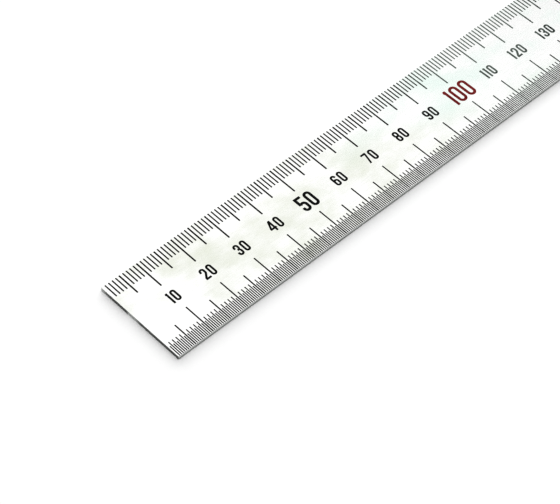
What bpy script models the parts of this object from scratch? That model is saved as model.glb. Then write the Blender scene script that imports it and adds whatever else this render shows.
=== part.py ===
"""A 300 mm steel rule: one flat stainless blade, and the baked enamel that makes its scales and numbers.

The blade lies flat with its numbered face up. X runs along it from the zero end to the hanging hole,
Y runs across it from the half-millimetre edge to the millimetre edge, and the origin is at the middle
of its underside. Every solid is made in metres, in that frame.
"""

from math import cos, pi, radians, sin

import bmesh
import bpy
from mathutils import Vector
from mathutils.geometry import delaunay_2d_cdt

MM = 0.001

# Blade
BLADE_LENGTH = 335 * MM
BLADE_WIDTH = 25 * MM
BLADE_THICKNESS = 1.0 * MM
SCALE_LENGTH = 300 * MM
EDGE_BREAK = 0.08 * MM
HANG_CORNER_RADIUS = 3 * MM
HANG_CORNER_STEPS = 5
HOLE_DIAMETER = 6 * MM
HOLE_TO_END = 9 * MM
HOLE_SIDES = 32

# Enamel, a baked layer on the numbered face
SEAT_GAP = 0.005 * MM
ENAMEL_THICKNESS = 0.03 * MM
WEB_WIDTH = 0.04 * MM

# Scales: each row starts at one long edge, and its marks are (every, length, width).
# The enamel of each row is in sections of one length.
SECTION_LENGTH = 50 * MM
UPPER_PITCH = 1.0 * MM
UPPER_MARKS = ((10, 8.3 * MM, 0.37 * MM), (5, 6.3 * MM, 0.37 * MM), (1, 4.0 * MM, 0.32 * MM))
LOWER_PITCH = 0.5 * MM
LOWER_MARKS = (
    (20, 8.8 * MM, 0.31 * MM),
    (10, 6.8 * MM, 0.31 * MM),
    (2, 4.3 * MM, 0.25 * MM),
    (1, 3.3 * MM, 0.25 * MM),
)

# Numbers: height, gap between digits and enamel of the tens, the fifties and the hundreds
NUMBER_STEP = 10
NUMBER_CENTRE_Y = 12.75 * MM
TENS = (3.3 * MM, 0.45 * MM, "black_enamel")
FIFTIES = (4.7 * MM, 0.47 * MM, "black_enamel")
HUNDREDS = (5.4 * MM, 0.62 * MM, "red_enamel")

# One digit, in units of its height: strokes of one width, and round bowls
WIDTH = 0.44
STROKE = 0.13
HALF = STROKE / 2
LEFT = HALF
MIDDLE = WIDTH / 2
RIGHT = WIDTH - HALF
BOWL = MIDDLE - HALF
HIGH = 1 - MIDDLE
LOW = MIDDLE
WAIST = 0.52
SHOULDER = 0.41
TAIL = 0.11
BEND_STEP = radians(45)

ZERO_X = -BLADE_LENGTH / 2
LOWER_EDGE_Y = -BLADE_WIDTH / 2
UPPER_EDGE_Y = BLADE_WIDTH / 2


def stroke(x, y, heading, *moves):
    """Outline of a pen stroke: a move of one number goes ahead, and one of (degrees, radius) turns left."""
    turned = radians(heading)
    spine = [(x, y, turned)]
    for move in moves:
        if not isinstance(move, tuple):
            x += move * cos(turned)
            y += move * sin(turned)
            spine.append((x, y, turned))
            continue
        angle, radius = radians(move[0]), move[1]
        side = 1 if angle > 0 else -1
        centre = (x - side * radius * sin(turned), y + side * radius * cos(turned))
        steps = max(1, round(abs(angle) / BEND_STEP))
        for _ in range(steps):
            turned += angle / steps
            x = centre[0] + side * radius * sin(turned)
            y = centre[1] - side * radius * cos(turned)
            spine.append((x, y, turned))
    right = [(px + HALF * sin(a), py - HALF * cos(a)) for px, py, a in spine]
    left = [(px - HALF * sin(a), py + HALF * cos(a)) for px, py, a in spine]
    return right + left[::-1]


def zero():
    stem = HIGH - LOW
    return [
        stroke(LEFT, LOW, 90, stem, (-180, BOWL), stem),
        stroke(LEFT, LOW, -90, (180, BOWL)),
    ]


def one():
    flag = 0.03
    middle = flag + HALF
    return [
        stroke(middle, 0, 90, 1),
        [(0, 0.83), (middle, 0.88), (middle, 1), (flag, 1), (0, 0.93)],
    ]


def two():
    foot = [(0, 0), (WIDTH, 0), (WIDTH, STROKE), (0.1, STROKE), (0.01, 0.16), (0, 0.145)]
    return [stroke(LEFT, HIGH - TAIL, 90, TAIL, (-180, BOWL), 0.16, (-36, 0.2), 0.47), foot]


def three():
    arm = 0.05
    return [
        stroke(LEFT, HIGH - TAIL, 90, TAIL, (-180, BOWL), HIGH - WAIST - BOWL, (-90, BOWL), arm),
        stroke(MIDDLE - arm, WAIST, 0, arm, (-90, BOWL), WAIST - BOWL - LOW, (-180, BOWL), TAIL),
    ]


def four():
    diagonal = [(0, 0.22), (0.13, 0.285), (0.4, 0.9), (0.4, 1), (0.3, 1), (0, 0.35)]
    return [stroke(0.386, 0, 90, 1), stroke(0, 0.285, 0, 0.53), diagonal]


def five():
    return [
        stroke(LEFT, LOW + 0.08, -90, 0.08, (180, BOWL), SHOULDER - LOW, (125, BOWL), 0.06),
        stroke(LEFT, 0.48, 90, 0.52),
        stroke(0, 1 - HALF, 0, 0.405),
    ]


def six():
    return [
        stroke(RIGHT, HIGH - 0.04, 90, 0.04, (180, BOWL), HIGH - LOW, (180, BOWL), SHOULDER - LOW),
        stroke(RIGHT, SHOULDER, 90, (180, BOWL)),
    ]


def seven():
    leg = [(0.083, 0), (0.218, 0), (WIDTH, 0.87), (WIDTH, 0.95), (0.305, 0.95), (0.305, 0.87)]
    return [stroke(0, 1 - HALF, 0, WIDTH), leg]


def eight():
    lower_side = WAIST - BOWL - LOW
    upper_side = HIGH - WAIST - BOWL
    return [
        stroke(LEFT, LOW, 90, lower_side, (-180, BOWL), lower_side),
        stroke(LEFT, LOW, -90, (180, BOWL)),
        stroke(RIGHT, WAIST + BOWL, 90, upper_side, (180, BOWL), upper_side),
        stroke(RIGHT, WAIST + BOWL, -90, (-180, BOWL)),
    ]


def nine():
    return [[(WIDTH - x, 1 - y) for x, y in outline] for outline in six()]


DIGITS = (zero, one, two, three, four, five, six, seven, eight, nine)
# The digits whose width or whose ink on the base line isn't the common one
WIDTHS = {"1": 0.03 + STROKE, "4": 0.53}
FOOTINGS = {"1": 0.03 + HALF, "4": 0.386, "7": 0.16}


def rectangle(x0, y0, x1, y1):
    return [(x0, y0), (x1, y0), (x1, y1), (x0, y1)]


def number_outlines(text, height, gap):
    """Outlines of a number in metres, centred on its middle, with a hairline web from digit to digit."""
    widths = [WIDTHS.get(digit, WIDTH) * height for digit in text]
    x = -(sum(widths) + gap * (len(text) - 1)) / 2
    outlines = []
    footings = []
    for digit, width in zip(text, widths):
        for outline in DIGITS[int(digit)]():
            outlines.append([(x + px * height, (py - 0.5) * height) for px, py in outline])
        footings.append(x + FOOTINGS.get(digit, MIDDLE) * height)
        x += width + gap
    web_y = (HALF - 0.5) * height
    outlines.append(
        rectangle(footings[0], web_y - WEB_WIDTH / 2, footings[-1], web_y + WEB_WIDTH / 2)
    )
    return outlines


def new_object(name, bm, material):
    mesh = bpy.data.meshes.new(name)
    bm.to_mesh(mesh)
    bm.free()
    mesh.materials.append(material)
    node = bpy.data.objects.new(name, mesh)
    bpy.context.collection.objects.link(node)
    return node


def extruded(bm, faces, height):
    """Raises flat faces into a closed prism."""
    bmesh.ops.reverse_faces(bm, faces=faces)
    raised = bmesh.ops.extrude_face_region(bm, geom=faces, use_keep_orig=True)["geom"]
    corners = [item for item in raised if isinstance(item, bmesh.types.BMVert)]
    bmesh.ops.translate(bm, verts=corners, vec=(0, 0, height))
    bmesh.ops.recalc_face_normals(bm, faces=bm.faces)


def merged_prism(outlines, height):
    """One prism over all the overlapping outlines together."""
    points = []
    loops = []
    for outline in outlines:
        loops.append(range(len(points), len(points) + len(outline)))
        points += [Vector(point) / MM for point in outline]
    triangles_inside = 1
    corners, _, triangles, _, _, sources = delaunay_2d_cdt(
        points, [], [list(loop) for loop in loops], triangles_inside, 1e-5
    )
    bm = bmesh.new()
    verts = [bm.verts.new((x * MM, y * MM, 0)) for x, y in corners]
    inked = [face for face, source in zip(triangles, sources) if source]
    faces = [bm.faces.new([verts[i] for i in face]) for face in inked]
    unused = [vert for vert in bm.verts if not vert.link_faces]
    bmesh.ops.delete(bm, geom=unused, context="VERTS")
    extruded(bm, faces, height)
    return bm


def comb_prism(pitch, marks, height, steps):
    """The marks at these steps of a pitch, pointing up from a hairline web on y = 0, raised to a prism."""
    bm = bmesh.new()
    foot = root = None
    for i in steps:
        length, line = next(mark[1:] for mark in marks if i % mark[0] == 0)
        sides = (i * pitch - line / 2, i * pitch + line / 2)
        next_foot, next_root, tip = (
            [bm.verts.new((x, y, 0)) for x in sides] for y in (0, WEB_WIDTH, length)
        )
        bm.faces.new((*next_foot, *next_root[::-1]))
        bm.faces.new((*next_root, *tip[::-1]))
        if foot:
            bm.faces.new((foot[1], next_foot[0], next_root[0], root[1]))
        foot, root = next_foot, next_root
    extruded(bm, bm.faces[:], height)
    return bm


def blade_outline(inset):
    """The blade's plan drawn in by an inset: square at the zero end, round-cornered at the hanging end."""
    radius = HANG_CORNER_RADIUS - inset
    corner_x = BLADE_LENGTH / 2 - HANG_CORNER_RADIUS
    corner_y = BLADE_WIDTH / 2 - HANG_CORNER_RADIUS
    points = [(ZERO_X + inset, UPPER_EDGE_Y - inset), (ZERO_X + inset, LOWER_EDGE_Y + inset)]
    for side, start in ((-1, -pi / 2), (1, 0)):
        for step in range(HANG_CORNER_STEPS + 1):
            angle = start + step * pi / 2 / HANG_CORNER_STEPS
            points.append((corner_x + radius * cos(angle), side * corner_y + radius * sin(angle)))
    return points


def hole_outline(inset):
    radius = HOLE_DIAMETER / 2 + inset
    centre_x = BLADE_LENGTH / 2 - HOLE_TO_END
    angles = [2 * pi * i / HOLE_SIDES for i in range(HOLE_SIDES)]
    return [(centre_x + radius * cos(angle), radius * sin(angle)) for angle in angles]


def ring_of_edges(bm, outline, z):
    verts = [bm.verts.new((x, y, z)) for x, y in outline]
    return [bm.edges.new((verts[i - 1], verts[i])) for i in range(len(verts))]


def make_blade(material):
    """Both faces, the edge all round and the hole's wall, with every sharp edge broken by a small flat."""
    bm = bmesh.new()
    levels = (
        (0, EDGE_BREAK),
        (EDGE_BREAK, 0),
        (BLADE_THICKNESS - EDGE_BREAK, 0),
        (BLADE_THICKNESS, EDGE_BREAK),
    )
    caps = {0: [], BLADE_THICKNESS: []}
    for plan in (blade_outline, hole_outline):
        rings = [ring_of_edges(bm, plan(inset), z) for z, inset in levels]
        for below, above in zip(rings, rings[1:]):
            bmesh.ops.bridge_loops(bm, edges=below + above)
        caps[0] += rings[0]
        caps[BLADE_THICKNESS] += rings[-1]
    for edges in caps.values():
        bmesh.ops.triangle_fill(bm, use_beauty=True, edges=edges)
    bmesh.ops.recalc_face_normals(bm, faces=bm.faces)
    blade = new_object("blade", bm, material)
    blade.data.shade_smooth()
    blade.data.set_sharp_from_angle(angle=radians(30))
    return blade


def make_scale(name, pitch, marks, edge_y, material):
    """One scale in sections, their webs on the given long edge and their marks pointing to the middle."""
    inward = 1 if edge_y < 0 else -1
    flat_marks = [(every, length - EDGE_BREAK, line) for every, length, line in marks]
    in_section = round(SECTION_LENGTH / pitch)
    for section in range(round(SCALE_LENGTH / SECTION_LENGTH)):
        steps = range(section * in_section + 1, (section + 1) * in_section + 1)
        bm = comb_prism(pitch, flat_marks, ENAMEL_THICKNESS - SEAT_GAP, steps)
        bmesh.ops.scale(bm, verts=bm.verts, vec=(1, inward, 1))
        bmesh.ops.translate(bm, verts=bm.verts, vec=(ZERO_X, edge_y + inward * EDGE_BREAK, 0))
        bmesh.ops.recalc_face_normals(bm, faces=bm.faces)
        bmesh.ops.triangulate(bm, faces=bm.faces[:], quad_method="SHORT_EDGE")
        end = round((section + 1) * SECTION_LENGTH / MM)
        enamel = new_object(f"{name}_{end:03d}", bm, material)
        enamel.location.z = BLADE_THICKNESS + SEAT_GAP


def make_number(value, materials):
    kind = HUNDREDS if value % 100 == 0 else FIFTIES if value % 50 == 0 else TENS
    height, gap, enamel = kind
    bm = merged_prism(number_outlines(str(value), height, gap), ENAMEL_THICKNESS - SEAT_GAP)
    number = new_object(f"number_{value:03d}", bm, materials[enamel])
    number.location = (
        ZERO_X + value * MM,
        LOWER_EDGE_Y + NUMBER_CENTRE_Y,
        BLADE_THICKNESS + SEAT_GAP,
    )
    return number


def make_material(name, colour, metallic, roughness):
    material = bpy.data.materials.new(name)
    material.use_nodes = True
    shader = material.node_tree.nodes["Principled BSDF"]
    shader.inputs["Base Color"].default_value = (*colour, 1)
    shader.inputs["Metallic"].default_value = metallic
    shader.inputs["Roughness"].default_value = roughness
    return material


def main():
    for old in list(bpy.data.objects):
        bpy.data.objects.remove(old)
    materials = {
        "stainless_steel": make_material("stainless_steel", (0.78, 0.79, 0.76), 1.0, 0.35),
        "black_enamel": make_material("black_enamel", (0.012, 0.014, 0.013), 0.0, 0.4),
        "red_enamel": make_material("red_enamel", (0.2, 0.008, 0.012), 0.0, 0.4),
    }
    black = materials["black_enamel"]
    make_blade(materials["stainless_steel"])
    make_scale("millimetre_scale", UPPER_PITCH, UPPER_MARKS, UPPER_EDGE_Y, black)
    make_scale("half_millimetre_scale", LOWER_PITCH, LOWER_MARKS, LOWER_EDGE_Y, black)
    for value in range(NUMBER_STEP, round(SCALE_LENGTH / MM) + 1, NUMBER_STEP):
        make_number(value, materials)


main()
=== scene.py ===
"""Looks of the 300 mm steel rule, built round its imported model.

The blade gets real etched recesses for every mark and digit, and each recess its own enamel fill.
Plans are drawn in millimetres from the blade's zero corner: x along the blade from the zero end,
y across it from the half-millimetre edge. Meshes are in metres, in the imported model's frame.
"""

from math import cos, pi, radians, sin

import bmesh
import bpy
from mathutils import Matrix, Vector
from mathutils.geometry import delaunay_2d_cdt


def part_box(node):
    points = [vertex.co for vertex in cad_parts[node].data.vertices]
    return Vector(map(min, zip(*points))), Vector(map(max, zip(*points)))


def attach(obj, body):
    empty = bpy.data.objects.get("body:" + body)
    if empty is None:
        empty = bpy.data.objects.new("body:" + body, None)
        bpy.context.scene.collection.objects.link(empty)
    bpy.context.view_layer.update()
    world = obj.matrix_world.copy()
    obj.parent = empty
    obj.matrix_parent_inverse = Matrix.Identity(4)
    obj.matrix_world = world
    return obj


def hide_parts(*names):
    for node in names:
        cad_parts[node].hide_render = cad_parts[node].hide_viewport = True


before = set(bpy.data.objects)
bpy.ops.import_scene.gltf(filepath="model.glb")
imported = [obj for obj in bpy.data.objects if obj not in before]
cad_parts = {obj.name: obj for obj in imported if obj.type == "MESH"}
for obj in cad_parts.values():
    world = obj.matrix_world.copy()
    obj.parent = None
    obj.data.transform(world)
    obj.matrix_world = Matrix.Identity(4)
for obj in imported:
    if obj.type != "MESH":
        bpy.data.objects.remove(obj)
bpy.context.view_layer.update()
BLADE_LOW, BLADE_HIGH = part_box("blade")

MM = 0.001
BODY = "root"

# Blade, in millimetres
LENGTH = (BLADE_HIGH.x - BLADE_LOW.x) / MM
WIDTH = (BLADE_HIGH.y - BLADE_LOW.y) / MM
THICKNESS = (BLADE_HIGH.z - BLADE_LOW.z) / MM
HANG_CORNER_RADIUS = 3.0
CORNER_STEPS = 12
HOLE_RADIUS = 3.0
HOLE_TO_END = 9.0
HOLE_SIDES = 96
EDGE_RADIUS = 0.05
EDGE_STEPS = 4
SHARP_ANGLE = radians(40)

# Etching and enamel
ETCH_DEPTH = 0.04
ENAMEL_SINK = 0.006
MARK_CORNER = 0.05
MARK_TO_EDGE = 0.06

# Scales: pitch, then how often each kind of mark comes, its length from the long edge, its width.
# The CAD has each scale in sections of one length.
SCALE_LENGTH = 300
CAD_SECTION = 50
UPPER_SCALE = (1.0, ((10, 8.3, 0.37), (5, 6.3, 0.37), (1, 4.0, 0.32)))
LOWER_SCALE = (0.5, ((20, 8.8, 0.31), (10, 6.8, 0.31), (2, 4.3, 0.25), (1, 3.3, 0.25)))

# Numbers: gap between digits and weight of the strokes, for the tens, the fifties and the hundreds
NUMBER_STEP = 10
TENS = (0.45, 0.15, "black_enamel")
FIFTIES = (0.47, 0.144, "black_enamel")
HUNDREDS = (0.62, 0.13, "red_enamel")

# One digit, in units of its height
DIGIT_WIDTH = 0.44
FOUR_WIDTH = 0.53
MIDDLE = DIGIT_WIDTH / 2
HIGH = 1 - MIDDLE
LOW = MIDDLE
WAIST = 0.52
SHOULDER = 0.41
TAIL = 0.11
FLAG = 0.03
BEND_STEP = radians(12)

# Colours of the steel, clean and smudged, the smudges tinted yellowish to bluish by a painted
# reflection of the room; of the walls, dark partly as painted shade, with painted shade low and
# painted light high on the long edges; of the floor; and of the enamel, plain and under a painted
# sheen
CLEAN_STEEL = (0.93, 0.93, 0.925)
# The smudges' colours, yellowish and bluish: a painted reflection of the room on the steel.
YELLOWISH_SMUDGE_AND_SHEEN = (0.765, 0.785, 0.715)
BLUISH_SMUDGE_AND_SHEEN = (0.785, 0.86, 0.825)
LINE_STEEL = (0.5, 0.51, 0.5)
# Ends and hole: duller sheared steel, darkened further as painted shade.
SHEARED_AND_SHADED_STEEL = (0.15, 0.155, 0.15)
# Long edges: painted shade near the floor below, painted light above.
SHADED_LOW_EDGE_STEEL = (0.33, 0.34, 0.33)
LIT_HIGH_EDGE_STEEL = (0.66, 0.67, 0.66)
PALE_FLOOR = (0.82, 0.82, 0.82)
ENAMELS = {
    # Each enamel: its own colour, then the colour of the painted sheen over it.
    "black_enamel": ((0.003, 0.0035, 0.003), (0.13, 0.155, 0.14)),
    "red_enamel": ((0.15, 0.006, 0.008), (0.22, 0.03, 0.03)),
}

# Patches, with x, y, radius and strength of each: handling smudges on the face, where its painted
# reflection turns bluish, lighter patches on the zero end, and where a painted sheen greys the
# enamel
HANDLED = (
    (4, 8, 15, -0.25), (14, 19, 4, 0.2), (22, 16, 12, 0.25), (29, 10, 9, 0.17), (44, 10, 14, 0.2),
    (68, 14, 13, 0.25), (97, 17, 16, 0.2),
)
# Where the steel's painted reflection turns bluish.
BLUISH_SHEEN_SPOTS = ((120, 12, 50, 0.35),)
# Lighter patches on the zero end.
LIGHTER_END_PATCHES = ((0, 14.5, 3, 0.3), (0, 25, 3, 0.3))
# Where a painted sheen greys the enamel.
ENAMEL_SHEEN_SPOT = ((114, 27, 40, 0.6),)

# Lights: name, heading and elevation in degrees, distance and size in metres, power in watts
WORLD_STRENGTH = 0.715
LIGHTS = (
    ("back_strip", 50, 17, 1.0, (1.8, 0.4), 9.8),
    ("back_panel", 44.5, 55, 1.2, (1.0, 0.6), 0.8),
    ("overhead", 224.5, 78, 1.2, (0.9, 0.9), 5.5),
)
LIT_FROM_ZERO = 55.4
CONTRAST_GAMMA = 0.7

# Camera, seen from the point of the numbered face that it aims at
AIM_FROM_ZERO = 35.4
AIM_FROM_EDGE = 6.2
CAMERA_DISTANCE = 456.6
CAMERA_HEADING = 44.48
CAMERA_ELEVATION = 50.86
CAMERA_ROLL = 2.47
CAMERA_LENS = 133.8


class Pen:
    """Draws the strokes of one digit with a pen of one width, in units of the digit's height."""

    def __init__(self, weight):
        self.weight = weight
        self.half = weight / 2
        self.left = self.half
        self.right = DIGIT_WIDTH - self.half
        self.bowl = MIDDLE - self.half

    def stroke(self, x, y, heading, *moves):
        """Outline of a stroke. A move of one number goes ahead, (degrees, radius) turns left."""
        turned = radians(heading)
        spine = [(x, y, turned)]
        for move in moves:
            if not isinstance(move, tuple):
                x += move * cos(turned)
                y += move * sin(turned)
                spine.append((x, y, turned))
                continue
            angle, radius = radians(move[0]), move[1]
            side = 1 if angle > 0 else -1
            centre = (x - side * radius * sin(turned), y + side * radius * cos(turned))
            steps = max(1, round(abs(angle) / BEND_STEP))
            for _ in range(steps):
                turned += angle / steps
                x = centre[0] + side * radius * sin(turned)
                y = centre[1] - side * radius * cos(turned)
                spine.append((x, y, turned))
        right = [(px + self.half * sin(a), py - self.half * cos(a)) for px, py, a in spine]
        left = [(px - self.half * sin(a), py + self.half * cos(a)) for px, py, a in spine]
        return right + left[::-1]

    def zero(self):
        stem = HIGH - LOW
        return [
            self.stroke(self.left, LOW, 90, stem, (-180, self.bowl), stem),
            self.stroke(self.left, LOW, -90, (180, self.bowl)),
        ]

    def one(self):
        middle = FLAG + self.half
        return [
            self.stroke(middle, 0, 90, 1),
            [(0, 0.84), (middle, 0.88), (middle, 1), (FLAG + 0.02, 1), (0, 0.93)],
        ]

    def two(self):
        w = self.weight
        foot = [
            (0, 0), (DIGIT_WIDTH, 0), (DIGIT_WIDTH, w), (0.1, w), (0.01, w + 0.03), (0, w + 0.015),
        ]
        neck = (self.left, HIGH - TAIL, 90, TAIL, (-180, self.bowl))
        return [self.stroke(*neck, 0.16, (-36, 0.2), 0.47), foot]

    def three(self):
        arm = 0.05
        upper = HIGH - WAIST - self.bowl
        lower = WAIST - self.bowl - LOW
        return [
            self.stroke(
                self.left, HIGH - TAIL, 90, TAIL, (-180, self.bowl), upper, (-90, self.bowl), arm
            ),
            self.stroke(
                MIDDLE - arm, WAIST, 0, arm, (-90, self.bowl), lower, (-180, self.bowl), TAIL
            ),
        ]

    def four(self):
        diagonal = [(0, 0.22), (0.13, 0.285), (0.4, 0.9), (0.4, 1), (0.3, 1), (0, 0.35)]
        return [self.stroke(0.386, 0, 90, 1), self.stroke(0, 0.285, 0, FOUR_WIDTH), diagonal]

    def five(self):
        tip = 0.08
        return [
            self.stroke(
                self.left, LOW + tip, -90, tip, (180, self.bowl), SHOULDER - LOW,
                (125, self.bowl), 0.06,
            ),
            self.stroke(self.left, 0.48, 90, 0.52),
            self.stroke(0, 1 - self.half, 0, 0.405),
        ]

    def six(self):
        tip = 0.04
        return [
            self.stroke(
                self.right, HIGH - tip, 90, tip, (180, self.bowl), HIGH - LOW, (180, self.bowl),
                SHOULDER - LOW,
            ),
            self.stroke(self.right, SHOULDER, 90, (180, self.bowl)),
        ]

    def seven(self):
        bar = 1 - self.weight
        leg = [
            (0.083, 0), (0.218, 0), (DIGIT_WIDTH, bar), (DIGIT_WIDTH, 1 - self.half),
            (0.305, 1 - self.half), (0.305, bar),
        ]
        return [self.stroke(0, 1 - self.half, 0, DIGIT_WIDTH), leg]

    def eight(self):
        lower = WAIST - self.bowl - LOW
        upper = HIGH - WAIST - self.bowl
        return [
            self.stroke(self.left, LOW, 90, lower, (-180, self.bowl), lower),
            self.stroke(self.left, LOW, -90, (180, self.bowl)),
            self.stroke(self.right, WAIST + self.bowl, 90, upper, (180, self.bowl), upper),
            self.stroke(self.right, WAIST + self.bowl, -90, (-180, self.bowl)),
        ]

    def nine(self):
        return [[(DIGIT_WIDTH - x, 1 - y) for x, y in outline] for outline in self.six()]

    def digit(self, value):
        """(outlines, width) of a digit."""
        draw = (
            self.zero, self.one, self.two, self.three, self.four,
            self.five, self.six, self.seven, self.eight, self.nine,
        )[value]
        width = {1: FLAG + self.weight, 4: FOUR_WIDTH}.get(value, DIGIT_WIDTH)
        return draw(), width


def number_kind(value):
    return HUNDREDS if value % 100 == 0 else FIFTIES if value % 50 == 0 else TENS


def node_of(value):
    return f"number_{value:03d}"


def number_plan(value):
    """Outlines of a number, as high as its CAD node and centred on it across the blade."""
    low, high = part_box(node_of(value))
    height = (high.y - low.y) / MM
    middle_y = ((high.y + low.y) / 2 - BLADE_LOW.y) / MM
    gap, weight, _ = number_kind(value)
    pen = Pen(weight)
    digits = [pen.digit(int(figure)) for figure in str(value)]
    x = value - (sum(width for _, width in digits) * height + gap * (len(digits) - 1)) / 2
    plan = []
    for outlines, width in digits:
        for outline in outlines:
            plan.append([(x + px * height, middle_y + (py - 0.5) * height) for px, py in outline])
        x += width * height + gap
    return plan


def rounded_bar(x, y0, y1, width, radius):
    """Outline of an upright mark, its corners softened as etched corners are."""
    low, high = min(y0, y1), max(y0, y1)
    half = width / 2
    cut = radius * 0.3
    return [
        (x - half + radius, low), (x + half - radius, low), (x + half - cut, low + cut),
        (x + half, low + radius), (x + half, high - radius), (x + half - cut, high - cut),
        (x + half - radius, high), (x - half + radius, high), (x - half + cut, high - cut),
        (x - half, high - radius), (x - half, low + radius), (x - half + cut, low + cut),
    ]


def scale_plan(scale, upper):
    """Outlines of one row of marks, all from its own long edge towards the middle."""
    pitch, kinds = scale
    edge, inward = (WIDTH, -1) if upper else (0, 1)
    plan = []
    for i in range(1, round(SCALE_LENGTH / pitch) + 1):
        length, line = next(kind[1:] for kind in kinds if i % kind[0] == 0)
        ends = (edge + inward * MARK_TO_EDGE, edge + inward * length)
        plan.append(rounded_bar(i * pitch, *ends, line, MARK_CORNER))
    return plan


def blade_plan(inset):
    """The blade's outline drawn in by an inset: a square zero end, round corners opposite."""
    radius = HANG_CORNER_RADIUS - inset
    corner_x = LENGTH - HANG_CORNER_RADIUS
    points = [(inset, WIDTH - inset), (inset, inset)]
    for corner_y, start in ((HANG_CORNER_RADIUS, -pi / 2), (WIDTH - HANG_CORNER_RADIUS, 0)):
        for step in range(CORNER_STEPS + 1):
            angle = start + step * pi / 2 / CORNER_STEPS
            points.append((corner_x + radius * cos(angle), corner_y + radius * sin(angle)))
    return points


def hole_plan(inset):
    radius = HOLE_RADIUS + inset
    angles = [2 * pi * i / HOLE_SIDES for i in range(HOLE_SIDES)]
    middle = (LENGTH - HOLE_TO_END, WIDTH / 2)
    return [(middle[0] + radius * cos(a), middle[1] + radius * sin(a)) for a in angles]


def place(x, y, z):
    """A point of the plan, z millimetres above the underside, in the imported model's frame."""
    return BLADE_LOW + Vector((x, y, z)) * MM


class Face:
    """The numbered face cut into triangles: bare steel, and the ink of each group of marks."""

    def __init__(self, groups):
        points, loops, owners = [], [], []
        plans = [(None, blade_plan(EDGE_RADIUS)), (None, hole_plan(EDGE_RADIUS))]
        hole = 1
        plans += [(name, outline) for name, outlines in groups.items() for outline in outlines]
        for name, outline in plans:
            loops.append(list(range(len(points), len(points) + len(outline))))
            points += [Vector(point) for point in outline]
            owners.append(name)
        triangles_inside = 1
        merge_distance = 1e-4
        self.corners, _, triangles, given, _, sources = delaunay_2d_cdt(
            points, [], loops, triangles_inside, merge_distance
        )
        self.steel = []
        self.ink = {name: [] for name in groups}
        for triangle, source in zip(triangles, sources):
            inks = [owners[i] for i in source if owners[i]]
            if inks:
                self.ink[inks[0]].append(triangle)
            elif source and hole not in source:
                self.steel.append(triangle)
        found = {origin: i for i, origins in enumerate(given) for origin in origins}
        self.rims = [[found[i] for i in loop] for loop in loops[:hole + 1]]


def border(triangles):
    """Directed edges of the triangles that no other of them shares."""
    edges = {(t[i - 1], t[i]) for t in triangles for i in range(3)}
    return [(a, b) for a, b in edges if (b, a) not in edges]


def piece_of(bm, name, *materials):
    mesh = bpy.data.meshes.new(name)
    bm.to_mesh(mesh)
    bm.free()
    for material in materials:
        mesh.materials.append(material)
    piece = bpy.data.objects.new(name, mesh)
    bpy.context.scene.collection.objects.link(piece)
    return piece


def round_levels():
    """(height, inset) down the blade's side: a round, the wall, and a round to the underside."""
    angles = [i * pi / 2 / EDGE_STEPS for i in range(EDGE_STEPS + 1)]
    top = [
        (THICKNESS - EDGE_RADIUS * (1 - cos(a)), EDGE_RADIUS * (1 - sin(a))) for a in angles
    ]
    return top + [(THICKNESS - z, inset) for z, inset in reversed(top)]


def make_blade(face, steel, edge):
    """The whole blade: etched face, edges rounded all round and in the hole, plain underside."""
    bm = bmesh.new()
    top = {}

    def vert(i):
        if i not in top:
            top[i] = bm.verts.new(place(*face.corners[i], THICKNESS))
        return top[i]

    for triangle in face.steel:
        bm.faces.new([vert(i) for i in triangle])
    ink = [triangle for group in face.ink.values() for triangle in group]
    floor = {}
    for triangle in ink:
        for i in triangle:
            if i not in floor:
                floor[i] = bm.verts.new(place(*face.corners[i], THICKNESS - ETCH_DEPTH))
        bm.faces.new([floor[i] for i in triangle])
    for a, b in border(ink):
        bm.faces.new((vert(a), vert(b), floor[b], floor[a]))
    under = []
    for plan, rim in zip((blade_plan, hole_plan), face.rims):
        ring = [vert(i) for i in rim]
        for z, inset in round_levels()[1:]:
            lower = [bm.verts.new(place(*point, z)) for point in plan(inset)]
            for i in range(len(ring)):
                side = bm.faces.new((ring[i - 1], ring[i], lower[i], lower[i - 1]))
                side.material_index = 1
            ring = lower
        under += [bm.edges.get((ring[i - 1], ring[i])) for i in range(len(ring))]
    bmesh.ops.triangle_fill(bm, use_beauty=True, edges=under)
    bmesh.ops.recalc_face_normals(bm, faces=bm.faces)
    blade = piece_of(bm, "etched_blade", steel, edge)
    blade.data.shade_smooth()
    blade.data.set_sharp_from_angle(angle=SHARP_ANGLE)
    weighted = blade.modifiers.new("flat_faces_stay_flat", "WEIGHTED_NORMAL")
    weighted.keep_sharp = True
    weighted.weight = 100
    return blade


def make_fill(name, face, group, material):
    """The enamel in the recesses of one group, a little below the steel round it."""
    bm = bmesh.new()
    triangles = face.ink[group]
    layers = []
    for z in (THICKNESS - ETCH_DEPTH, THICKNESS - ENAMEL_SINK):
        corners = {i for triangle in triangles for i in triangle}
        layers.append({i: bm.verts.new(place(*face.corners[i], z)) for i in sorted(corners)})
    lower, upper = layers
    for a, b, c in triangles:
        bm.faces.new((upper[a], upper[b], upper[c]))
        bm.faces.new((lower[c], lower[b], lower[a]))
    for a, b in border(triangles):
        bm.faces.new((lower[a], lower[b], upper[b], upper[a]))
    bmesh.ops.recalc_face_normals(bm, faces=bm.faces)
    return piece_of(bm, name, material)


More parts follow.
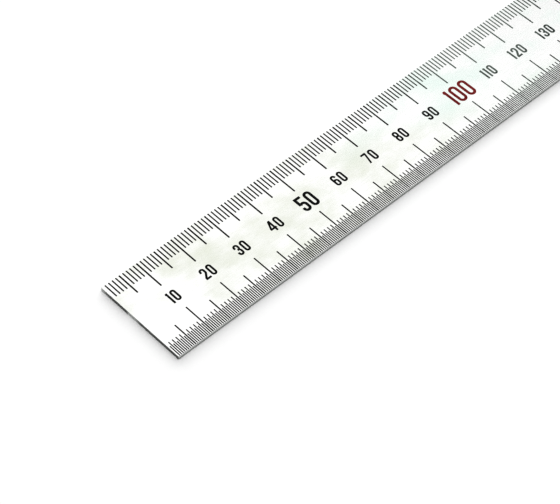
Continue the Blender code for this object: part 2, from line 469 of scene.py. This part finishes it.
class Shader:
    """A Principled material, and short ways to add detail in millimetres on the object."""

    def __init__(self, name):
        self.material = bpy.data.materials.new(name)
        self.material.use_nodes = True
        self.tree = self.material.node_tree
        self.surface = self.tree.nodes["Principled BSDF"]
        self.coordinates = self.node("ShaderNodeTexCoord")
        self.millimetres = self.node("ShaderNodeVectorMath", operation="SCALE")
        self.feed(self.millimetres.inputs[0], self.coordinates.outputs["Object"])
        self.millimetres.inputs["Scale"].default_value = 1 / MM

    def node(self, kind, **settings):
        node = self.tree.nodes.new(kind)
        for name, value in settings.items():
            setattr(node, name, value)
        return node

    def feed(self, socket, value):
        if isinstance(value, bpy.types.NodeSocket):
            self.tree.links.new(value, socket)
        elif isinstance(value, tuple) and len(value) == 3 and socket.type == "RGBA":
            socket.default_value = (*value, 1)
        else:
            socket.default_value = value

    def noise(self, per_mm, detail=3.0, roughness=0.5, shift=0.0):
        """Noise with its own density along X, Y and Z, in features per millimetre."""
        stretched = self.node("ShaderNodeVectorMath", operation="MULTIPLY_ADD")
        self.tree.links.new(self.millimetres.outputs[0], stretched.inputs[0])
        stretched.inputs[1].default_value = per_mm
        stretched.inputs[2].default_value = (shift, shift, shift)
        texture = self.node("ShaderNodeTexNoise")
        self.tree.links.new(stretched.outputs[0], texture.inputs["Vector"])
        texture.inputs["Scale"].default_value = 1
        texture.inputs["Detail"].default_value = detail
        texture.inputs["Roughness"].default_value = roughness
        return texture.outputs["Fac"]

    def ramp(self, value, low, high, to_low=0.0, to_high=1.0):
        mapped = self.node("ShaderNodeMapRange", interpolation_type="SMOOTHSTEP")
        for name, number in (
            ("Value", value), ("From Min", low), ("From Max", high),
            ("To Min", to_low), ("To Max", to_high),
        ):
            self.feed(mapped.inputs[name], number)
        return mapped.outputs["Result"]

    def math(self, operation, a, b=0.0):
        node = self.node("ShaderNodeMath", operation=operation)
        self.feed(node.inputs[0], a)
        self.feed(node.inputs[1], b)
        return node.outputs[0]

    def along(self, axis):
        """Millimetres along one axis of the object."""
        return self.part(self.millimetres.outputs[0], axis)

    def facing(self, axis):
        """One part of the surface's normal, in the object's axes."""
        return self.part(self.coordinates.outputs["Normal"], axis)

    def part(self, vector, axis):
        parts = self.node("ShaderNodeSeparateXYZ")
        self.feed(parts.inputs[0], vector)
        return parts.outputs[axis]

    def with_spots(self, value, spots):
        """The value raised near each (x, y, radius, amount) of the plan, less so further out."""
        for x, y, radius, amount in spots:
            distance = self.node("ShaderNodeVectorMath", operation="DISTANCE")
            self.feed(distance.inputs[0], self.millimetres.outputs[0])
            distance.inputs[1].default_value = (x - LENGTH / 2, y - WIDTH / 2, THICKNESS)
            rise = self.ramp(distance.outputs["Value"], 0, radius, amount, 0)
            value = self.math("ADD", value, rise)
        return value

    def mix(self, factor, a, b):
        node = self.node("ShaderNodeMix", data_type="RGBA")
        colours = [socket for socket in node.inputs if socket.type == "RGBA"]
        self.feed(node.inputs["Factor"], factor)
        self.feed(colours[0], a)
        self.feed(colours[1], b)
        return next(socket for socket in node.outputs if socket.type == "RGBA")

    def bump(self, height, distance_mm, strength=1.0, below=None):
        node = self.node("ShaderNodeBump")
        self.feed(node.inputs["Height"], height)
        node.inputs["Distance"].default_value = distance_mm * MM
        node.inputs["Strength"].default_value = strength
        if below:
            self.tree.links.new(below, node.inputs["Normal"])
        return node.outputs["Normal"]

    def set(self, **inputs):
        for name, value in inputs.items():
            self.feed(self.surface.inputs[name.replace("_", " ")], value)
        return self.material


def steel_face():
    """Satin stainless: grain along the blade, handling marks tinted yellowish to bluish by a
    painted reflection of the room, fine scratches, slow waves.
    """
    shader = Shader("stainless_steel_face")
    grain = shader.noise((0.15, 8.0, 8.0), detail=4, roughness=0.6)
    scratches = shader.ramp(shader.noise((0.03, 22.0, 22.0), detail=2, shift=40), 0.66, 0.74)
    haze = shader.noise((0.11, 0.16, 0.16), detail=4, roughness=0.6, shift=3)
    clouds = shader.ramp(shader.with_spots(haze, HANDLED), 0.36, 0.9)
    # Painted reflection: the smudges' tint drifts from yellowish to bluish across the face.
    sheen_hue = shader.with_spots(shader.noise((0.018, 0.03, 0.03), detail=1, shift=21), BLUISH_SHEEN_SPOTS)
    smudge_and_sheen = shader.mix(shader.ramp(sheen_hue, 0.55, 0.75), YELLOWISH_SMUDGE_AND_SHEEN, BLUISH_SMUDGE_AND_SHEEN)
    colour = shader.mix(clouds, CLEAN_STEEL, smudge_and_sheen)
    brushed = shader.ramp(grain, 0.35, 0.65, 0, 0.14)
    lines = shader.math("ADD", brushed, shader.math("MULTIPLY", scratches, 0.25))
    colour = shader.mix(lines, colour, LINE_STEEL)
    satin = shader.ramp(grain, 0.3, 0.7, 0.19, 0.24)
    roughness = shader.math("ADD", satin, shader.math("MULTIPLY", clouds, 0.05))
    waves = shader.bump(shader.noise((0.02, 0.05, 0.05), detail=1, shift=9), 0.02)
    normal = shader.bump(grain, 0.002, below=waves)
    return shader.set(Base_Color=colour, Metallic=1.0, Roughness=roughness, Normal=normal)


def steel_edge():
    """The walls: the ends, and the hole where it faces along the blade, dark as duller sheared
    steel and as painted shade; long edges with painted shade in their lower half and painted light
    in their upper half.
    """
    shader = Shader("stainless_steel_edge")
    lines = shader.noise((0.5, 0.5, 14.0), detail=4, roughness=0.7, shift=5)
    spots = shader.with_spots(shader.noise((0.2, 0.2, 0.6), detail=3, shift=1), LIGHTER_END_PATCHES)
    spots = shader.ramp(spots, 0.5, 0.8)
    # Ends and hole: dark as sheared steel and as painted shade, with lighter patches.
    dark = shader.mix(spots, SHEARED_AND_SHADED_STEEL, LINE_STEEL)
    # Long edges: painted shade in the lower half, painted light in the upper half.
    painted_light_height = shader.ramp(shader.along("Z"), 0.35 * THICKNESS, 0.6 * THICKNESS)
    long_edge = shader.mix(painted_light_height, SHADED_LOW_EDGE_STEEL, LIT_HIGH_EDGE_STEEL)
    facing_along = shader.ramp(shader.math("ABSOLUTE", shader.facing("X")), 0.3, 0.7)
    colour = shader.mix(facing_along, long_edge, dark)
    roughness = shader.ramp(lines, 0.3, 0.7, 0.35, 0.55)
    normal = shader.bump(lines, 0.004)
    return shader.set(Base_Color=colour, Metallic=1.0, Roughness=roughness, Normal=normal)


def enamel(name, colour, sheen_colour):
    """Baked enamel: a satin coat, greyed in slight mottles and over one broad patch towards a
    painted sheen colour, with fine orange peel.
    """
    shader = Shader(name)
    # Painted sheen: the enamel greys towards its sheen colour in mottles and over one broad patch.
    mottle_and_sheen = shader.with_spots(shader.noise((1.6, 1.6, 1.6), detail=4), ENAMEL_SHEEN_SPOT)
    peel = shader.noise((7.0, 7.0, 7.0), detail=2, shift=12)
    return shader.set(
        Base_Color=shader.mix(shader.ramp(mottle_and_sheen, 0.55, 0.95), colour, sheen_colour),
        Roughness=shader.ramp(peel, 0.3, 0.7, 0.4, 0.55),
        Specular_IOR_Level=0.08,
        Normal=shader.bump(peel, 0.001),
    )


def make_floor():
    """A plain pale sweep far wider than any view, level with the blade's underside."""
    bm = bmesh.new()
    bmesh.ops.create_grid(bm, x_segments=2, y_segments=2, size=6)
    shader = Shader("pale_floor")
    shader.set(Base_Color=PALE_FLOOR, Roughness=1.0, Specular_IOR_Level=0.0)
    floor = piece_of(bm, "floor", shader.material)
    floor.location.z = BLADE_LOW.z


def direction(heading, elevation):
    """Unit vector: heading from +X towards +Y, and elevation above the floor, in degrees."""
    h, e = radians(heading), radians(elevation)
    return Vector((cos(h) * cos(e), sin(h) * cos(e), sin(e)))


def make_light(name, heading, elevation, distance, size, power):
    light = bpy.data.lights.new(name, "AREA")
    light.shape = "RECTANGLE"
    light.size, light.size_y = size
    light.energy = power
    lamp = bpy.data.objects.new(name, light)
    towards = direction(heading, elevation)
    aim = place(LIT_FROM_ZERO, WIDTH / 2, THICKNESS)
    lamp.location = aim + towards * distance
    lamp.rotation_mode = "QUATERNION"
    lamp.rotation_quaternion = towards.to_track_quat("Z", "Y")
    lamp.visible_camera = False
    bpy.context.scene.collection.objects.link(lamp)


def make_world(strength):
    world = bpy.data.worlds.new("studio")
    world.use_nodes = True
    background = world.node_tree.nodes["Background"]
    background.inputs["Color"].default_value = (1, 1, 1, 1)
    background.inputs["Strength"].default_value = strength
    bpy.context.scene.world = world


def make_camera():
    """The photograph's view: heading, elevation and roll about the line to the point it aims at."""
    camera = bpy.data.objects.new("camera", bpy.data.cameras.new("camera"))
    camera.data.lens = CAMERA_LENS
    camera.data.sensor_width = 36
    camera.data.clip_start = 0.01
    back = -direction(CAMERA_HEADING, -CAMERA_ELEVATION)
    aim = place(AIM_FROM_ZERO, AIM_FROM_EDGE, THICKNESS)
    level = (-back).to_track_quat("-Z", "Y").to_matrix().to_4x4()
    roll = Matrix.Rotation(radians(CAMERA_ROLL), 4, "Z")
    camera.matrix_world = Matrix.Translation(aim + back * CAMERA_DISTANCE * MM) @ level @ roll
    bpy.context.scene.collection.objects.link(camera)
    bpy.context.scene.camera = camera


def make_rule():
    """Every visible piece. A scale stands for its CAD sections, any other piece for its node."""
    values = range(NUMBER_STEP, SCALE_LENGTH + 1, NUMBER_STEP)
    ends = range(CAD_SECTION, SCALE_LENGTH + 1, CAD_SECTION)
    groups = {
        "millimetre_scale": scale_plan(UPPER_SCALE, upper=True),
        "half_millimetre_scale": scale_plan(LOWER_SCALE, upper=False),
        **{node_of(value): number_plan(value) for value in values},
    }
    enamels = {name: enamel(name, *colours) for name, colours in ENAMELS.items()}
    face = Face(groups)
    blade = make_blade(face, steel_face(), steel_edge())
    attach(blade, BODY)
    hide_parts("blade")
    slots = {node_of(value): number_kind(value)[2] for value in values}
    for node in groups:
        slot = slots.get(node, "black_enamel")
        fill = make_fill(f"{node}_fill", face, node, enamels[slot])
        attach(fill, BODY)
        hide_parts(*([node] if node in slots else [f"{node}_{end:03d}" for end in ends]))


make_rule()
make_floor()
make_world(WORLD_STRENGTH)
for light_settings in LIGHTS:
    make_light(*light_settings)
make_camera()
bpy.context.scene.view_settings.view_transform = "Standard"
bpy.context.scene.view_settings.gamma = CONTRAST_GAMMA
